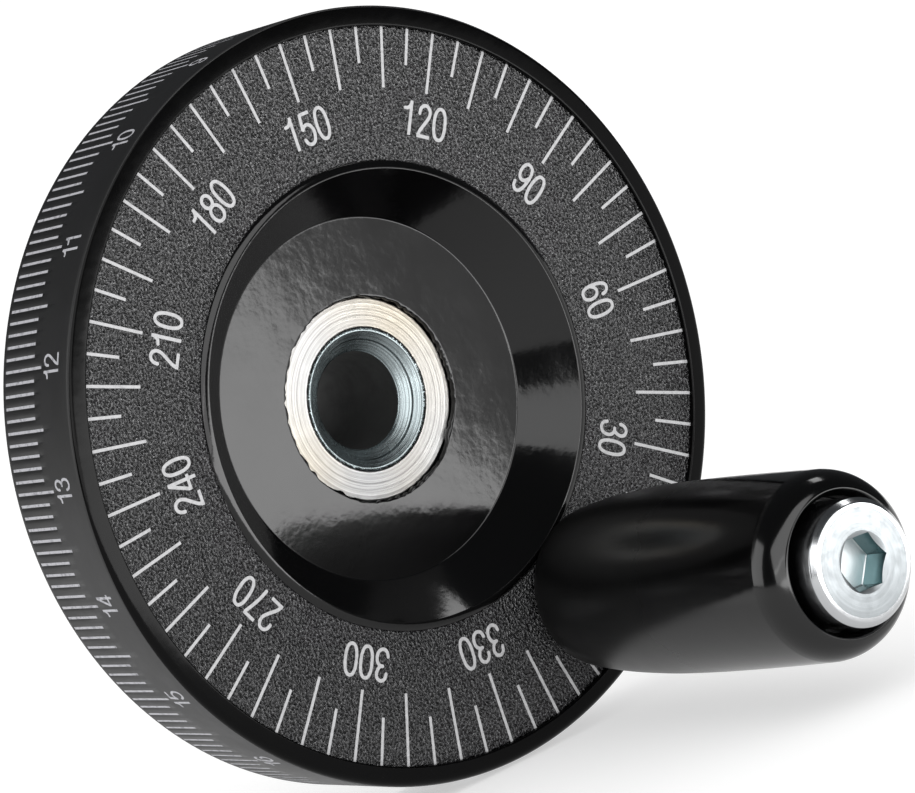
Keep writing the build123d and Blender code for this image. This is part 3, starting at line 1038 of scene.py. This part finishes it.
def make_screw():
    """Socket-head shoulder screw: turned head, broached hexagon with a countersunk mouth."""
    R = Revolve(HANDLE_R, 0.0)
    n = 240
    ang = even(n) + math.radians(HEX_ANGLE_DIAL)
    FACE, SIDE, SOCK, SEAT = 0, 1, 2, 3
    prof = rounded(
        [
            (0.01, -10.8), (3.2, -10.8, 0.05, 2), (4.0, -10.0, 0.05, 2), (4.0, -1.2), (3.4, -0.9),
            (3.4, 0.55, 0.02, 2), (5.0, 0.55, 0.05, 2), (5.0, 48.5, 0.05, 2),
            (7.8, 48.5, 0.2, 3), (8.1, 48.8, 0.05, 2), (8.1, 55.75, 0.25, 5),
            (7.45, 56.5, 0.22, 4), (6.9, 56.5),
        ]
    )
    prof = prof[1:]
    for r, z in prof:
        R.ring(r, z, ang)
    nside = len(R.rings) - 1
    for r in np.linspace(6.6, 4.0, 8):
        R.ring(r, 56.5, ang)
    # mouth of the socket: cone cut by the hexagon
    ap = 3.3
    sect = math.pi / 3
    local = (even(n) + 1e-9) % sect
    hexr = ap / np.cos(local - sect / 2)
    cone_z = lambda r: 56.5 - (3.90 - r) * 0.62
    R.ring(3.90, 56.49, ang)
    rr = np.minimum(hexr, 3.86)
    R.ring(rr + 0.02, cone_z(rr + 0.02), ang)
    R.ring(rr, cone_z(rr) - 0.04, ang)
    nsock = len(R.rings) - 1
    R.ring(rr, 54.6 + 0 * rr, ang)
    R.ring(rr, 52.62 + 0 * rr, ang)
    R.ring(rr - 0.12, 52.5 + 0 * rr, ang)
    nfloor = len(R.rings) - 1
    R.ring(2.6, 52.47, ang)
    R.ring(1.2, 52.43, ang)

    def mat(i):
        if i < nside:
            return SIDE
        if i < nsock - 1:
            return FACE
        # the socket walls take the dark painted shade
        return SOCK if i < nfloor - 1 else SEAT

    R.chain(0, len(R.rings) - 1, mat)
    # the socket floor and its cap take the pale painted highlight
    R.cap(len(R.rings) - 1, 52.40, SEAT)
    R.cap(0, -10.8, SIDE, True)
    ob = build("socket_screw", R.world(), R.f, [M_ZINC, M_ZINC_SIDE, M_SOCKET_SHADED, M_SEAT_LIT], "wheel",
               R.fm)
    outward(ob)
    ob.data.set_sharp_from_angle(angle=math.radians(38))
    return ob


wheel = make_wheel()
band = make_band()
ink = make_print()
rimp = make_rim_paint()
hub = make_hub()
grip = make_grip()
screw = make_screw()
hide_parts("wheel_body")
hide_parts("hub_insert")
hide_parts("handle_grip")
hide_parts("handle_screw")
ins = frame["nodes"]["handle_insert"]
ins.data.materials.clear()
ins.data.materials.append(turned_metal("insert_steel_turned", (0.62, 0.61, 0.59), 0.3, 0.42, 0.5, 0.3,
                                       HANDLE_R, 0.0))

# --------------------------------------------------------------------------
# Stage: floor, world, lights, camera
# --------------------------------------------------------------------------
FLOOR_Z = -0.0503
fm, nt, b = new_mat("floor_pale")
v = tex_coord(nt)
nt.links.new(ramp(nt, noise(nt, v, 3.0, 2.0), [(0.3, grey(0.57)), (0.7, grey(0.59))]), b.inputs["Base Color"])
b.inputs["Roughness"].default_value = 0.9
b.inputs["Specular IOR Level"].default_value = 0.1
b.inputs["Emission Color"].default_value = (1.0, 1.0, 1.0, 1.0)
b.inputs["Emission Strength"].default_value = 0.50
me = bpy.data.meshes.new("floor")
nx = 24
gx = np.linspace(-9, 9, nx + 1)
fv = [(float(x), float(y), FLOOR_Z) for y in gx for x in gx]
ff = [
    [j * (nx + 1) + i, j * (nx + 1) + i + 1, (j + 1) * (nx + 1) + i + 1, (j + 1) * (nx + 1) + i]
    for j in range(nx)
    for i in range(nx)
]
me.from_pydata(fv, [], ff)
me.materials.append(fm)
floor = bpy.data.objects.new("floor", me)
bpy.context.scene.collection.objects.link(floor)

w = bpy.data.worlds.new("studio")
bpy.context.scene.world = w
w.use_nodes = True
w.cycles.sampling_method = "NONE"
wn = w.node_tree
bg = wn.nodes["Background"]
bg.inputs["Color"].default_value = (1, 1, 1, 1)
bg.inputs["Strength"].default_value = 1.06
bg2 = wn.nodes.new("ShaderNodeBackground")
bg2.inputs["Color"].default_value = (0.9, 0.95, 1.0, 1)
bg2.inputs["Strength"].default_value = 0.07
lp = wn.nodes.new("ShaderNodeLightPath")
mx = wn.nodes.new("ShaderNodeMixShader")
wn.links.new(lp.outputs["Is Glossy Ray"], mx.inputs["Fac"])
wn.links.new(bg.outputs[0], mx.inputs[1])
wn.links.new(bg2.outputs[0], mx.inputs[2])
wn.links.new(mx.outputs[0], wn.nodes["World Output"].inputs["Surface"])

CAM_ROT = Matrix(
    (
        (0.7478734, 0.3336872, -0.5738800),
        (-0.5857324, -0.0751458, -0.8070135),
        (-0.3124147, 0.9396840, 0.1392519),
    )
)
CAM_LOC = Vector((-0.50235, -0.71896 - 0.028, 0.12071))


def direction(az, el):
    """Unit vector for an azimuth from -Y towards +X and an elevation, in degrees."""
    a, e = math.radians(az), math.radians(el)
    return Vector((math.sin(a) * math.cos(e), -math.cos(a) * math.cos(e), math.sin(e)))


def panel(name, loc, normal, up, sx, sy, level, diffuse=False, colour=(1, 1, 1)):
    """A softbox: a rectangular area light of a stated brightness, seen only in reflections."""
    l = bpy.data.lights.new(name, "AREA")
    l.shape = "RECTANGLE"
    l.size, l.size_y = sx, sy
    l.energy = math.pi * sx * sy * level
    l.color = colour
    o = bpy.data.objects.new(name, l)
    bpy.context.scene.collection.objects.link(o)
    z = -Vector(normal).normalized()
    y = (Vector(up) - Vector(up).dot(z) * z).normalized()
    x = y.cross(z)
    m = Matrix((x, y, z)).transposed().to_4x4()
    o.matrix_world = Matrix.Translation(Vector(loc)) @ m
    o.visible_camera = False
    o.visible_diffuse = diffuse
    return o


def softbox(name, az0, az1, el0, el1, dist, level, centre=(0.0, -0.04, 0.0), diffuse=False, colour=(1, 1, 1)):
    """A softbox that covers a range of directions from the object."""
    az, el = (az0 + az1) / 2, (el0 + el1) / 2
    d = direction(az, el)
    sx = 2 * dist * math.tan(math.radians(az1 - az0) / 2)
    sy = 2 * dist * math.tan(math.radians(el1 - el0) / 2)
    return panel(name, Vector(centre) + d * dist, -d, (0, 0, 1), sx, sy, level, diffuse, colour)


# the large front softbox, from the floor up
softbox("front_softbox", -56, 26, 10, 47, 1.3, 3.1)
softbox("front_softbox_low", -56, -8, -2, 12, 1.3, 3.1)
# the low light table to the front right, which the dish looks at
panel("light_table", (0.029, -0.619, FLOOR_Z + 0.002), (0, 0, 1), (0.507, -0.862, 0), 0.62, 0.80, 6.2)
softbox("left_strip", -130, -98, 0, 42, 1.3, 2.6)
softbox("right_lamp", 84, 101, 45, 54, 1.3, 4.5)

cam_d = bpy.data.cameras.new("camera")
cam_d.sensor_fit = "HORIZONTAL"
cam_d.sensor_width = 36.0
cam_d.lens = 6939.667 / 915.0 * 36.0
cam_d.clip_start = 0.05
cam_d.clip_end = 60.0
cam = bpy.data.objects.new("camera", cam_d)
bpy.context.scene.collection.objects.link(cam)
cam.matrix_world = Matrix.Translation(CAM_LOC) @ CAM_ROT.to_4x4()
bpy.context.scene.camera = cam
bpy.context.scene.view_settings.view_transform = "Standard"
